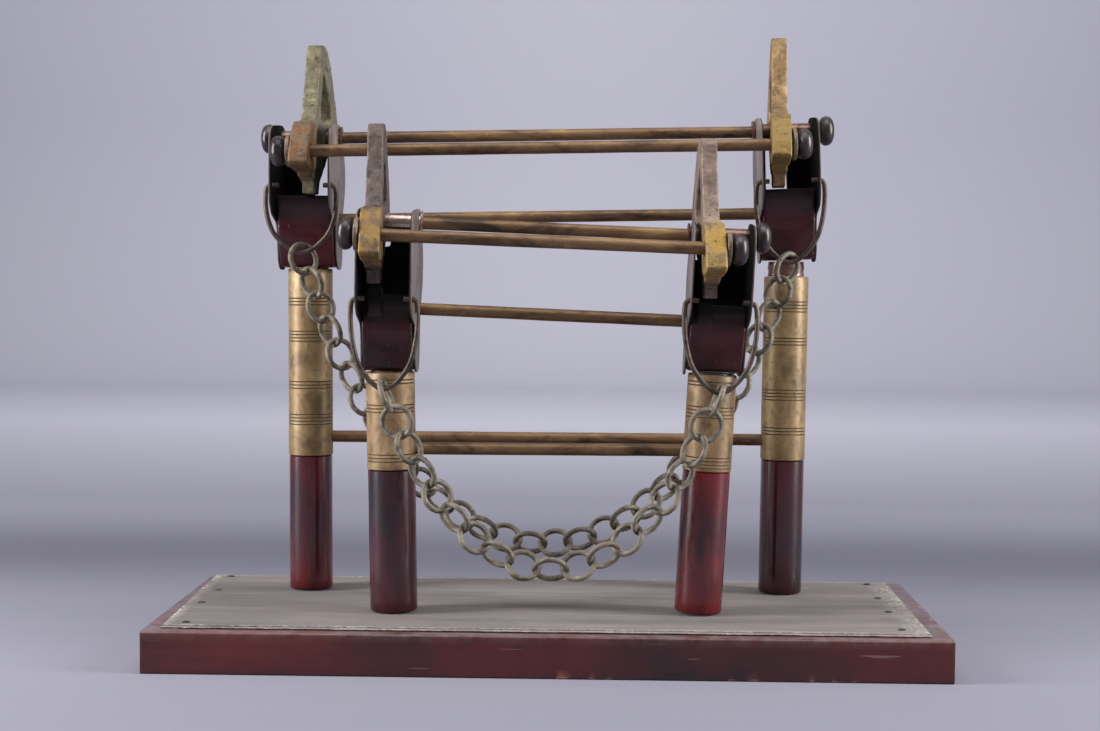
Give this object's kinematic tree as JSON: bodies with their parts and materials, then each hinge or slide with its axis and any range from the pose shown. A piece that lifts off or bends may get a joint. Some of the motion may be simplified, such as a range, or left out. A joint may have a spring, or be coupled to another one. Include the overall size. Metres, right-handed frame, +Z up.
{
  "type": "articulated linkage stand",
  "caption": "Lacquered board carrying turned handle posts whose forked heads hold hinged ring levers, cross rods, wire bails and hanging ring chains",
  "frame": {"origin": "centre of the footprint on the floor plane, under the base", "axes": "+X to the right of a viewer who faces the long side with the narrower pair of posts in front, +Y away from that viewer, +Z up"},
  "size_m": [0.46, 0.1999, 0.3774],
  "materials": {
    "lacquered_wood": "semi-gloss dark red lacquer, worn at the edges",
    "canvas": "worn grey-olive cloth",
    "turned_brass": "brown patina",
    "head_plate": "satin grey-beige tarnish",
    "cast_lever": "cast, pitted, golden-brown patina",
    "iron_wire": "dull dark",
    "rod_brass": "dull brown patina",
    "knob_metal": "dark satin",
    "copper_sleeve": "bright copper, partly tarnished",
    "chain_metal": "rough grey-green patina"
  },
  "bodies": {
    "stand": {"base_board": "lacquered_wood", "base_cloth": "canvas", "front_left_handle": "lacquered_wood", "front_left_tube": "turned_brass", "front_left_head_block": "lacquered_wood", "front_left_cheek_left": "head_plate", "front_left_cheek_right": "head_plate", "front_left_sleeve": "copper_sleeve", "front_right_handle": "lacquered_wood", "front_right_tube": "turned_brass", "front_right_head_block": "lacquered_wood", "front_right_cheek_left": "head_plate", "front_right_cheek_right": "head_plate", "front_right_sleeve": "copper_sleeve", "back_left_handle": "lacquered_wood", "back_left_tube": "turned_brass", "back_left_head_block": "lacquered_wood", "back_left_cheek_left": "head_plate", "back_left_cheek_right": "head_plate", "back_left_sleeve": "copper_sleeve", "back_right_handle": "lacquered_wood", "back_right_tube": "turned_brass", "back_right_head_block": "lacquered_wood", "back_right_cheek_left": "head_plate", "back_right_cheek_right": "head_plate", "back_right_sleeve": "copper_sleeve", "back_right_neck_collar": "copper_sleeve", "front_pin_rod": "rod_brass", "front_middle_rod": "rod_brass", "front_lower_rod": "rod_brass", "front_pin_knob_right": "knob_metal", "back_pin_rod": "rod_brass", "back_middle_rod": "rod_brass", "back_lower_rod": "rod_brass", "back_pin_knob_right": "knob_metal", "back_pin_knob_left": "knob_metal"},
    "front_lever_pair": {"front_left_lever": "cast_lever", "front_right_lever": "cast_lever", "front_lever_rod": "rod_brass", "front_lever_knob_left": "knob_metal", "front_lever_knob_right": "knob_metal", "front_washer_left": "head_plate", "front_washer_right": "head_plate"},
    "front_left_bail_loop": {"front_left_bail": "iron_wire"},
    "front_right_bail_loop": {"front_right_bail": "iron_wire"},
    "front_chain_run": {"front_chain": "chain_metal"},
    "back_lever_pair": {"back_left_lever": "cast_lever", "back_right_lever": "cast_lever", "back_lever_rod": "rod_brass", "back_lever_knob_left": "knob_metal", "back_lever_knob_right": "knob_metal", "back_washer_left": "head_plate", "back_washer_right": "head_plate"},
    "back_left_bail_loop": {"back_left_bail": "iron_wire"},
    "back_right_bail_loop": {"back_right_bail": "iron_wire"},
    "back_chain_run": {"back_chain": "chain_metal"}
  },
  "joints": [
    {"name": "front_lever_lift", "type": "hinge", "parent": "stand", "child": "front_lever_pair", "pos_m": [-0.0949, -0.02775, 0.2589], "axis": [-0.9989, -0.027, 0.0372], "range_deg": [0, 6]},
    {"name": "front_left_bail_swing", "type": "hinge", "parent": "stand", "child": "front_left_bail_loop", "pos_m": [-0.09536, -0.06425, 0.2134], "axis": [0.9996, 0.0272, -0.0018], "range_deg": [-45, 5]},
    {"name": "front_right_bail_swing", "type": "hinge", "parent": "stand", "child": "front_right_bail_loop", "pos_m": [0.0991, -0.05895, 0.21305], "axis": [0.9996, 0.0272, -0.0018], "range_deg": [-45, 5]},
    {"name": "front_chain_swing", "type": "hinge", "parent": "front_left_bail_loop", "child": "front_chain_run", "pos_m": [-0.09536, -0.06425, 0.1619], "axis": [0.9996, 0.0272, -0.0044], "range_deg": [-45, 5]},
    {"name": "back_lever_lift", "type": "hinge", "parent": "stand", "child": "back_lever_pair", "pos_m": [-0.1564, 0.04985, 0.3138], "axis": [-0.9997, -0.0123, -0.0206], "range_deg": [0, 120]},
    {"name": "back_left_bail_swing", "type": "hinge", "parent": "stand", "child": "back_left_bail_loop", "pos_m": [-0.15625, 0.01335, 0.2823], "axis": [0.9998, 0.0122, 0.0156], "range_deg": [-3, 4]},
    {"name": "back_right_bail_swing", "type": "hinge", "parent": "stand", "child": "back_right_bail_loop", "pos_m": [0.14603, 0.01705, 0.28702], "axis": [0.9998, 0.0122, 0.0156], "range_deg": [-3, 4]},
    {"name": "back_chain_swing", "type": "hinge", "parent": "back_left_bail_loop", "child": "back_chain_run", "pos_m": [-0.15625, 0.01335, 0.2413], "axis": [0.9998, 0.0122, -0.0125], "range_deg": [-3, 5]}
  ],
  "couplings": [
    {"joint": "front_right_bail_swing", "follows": "front_left_bail_swing", "ratio": 1},
    {"joint": "back_right_bail_swing", "follows": "back_left_bail_swing", "ratio": 1}
  ]
}
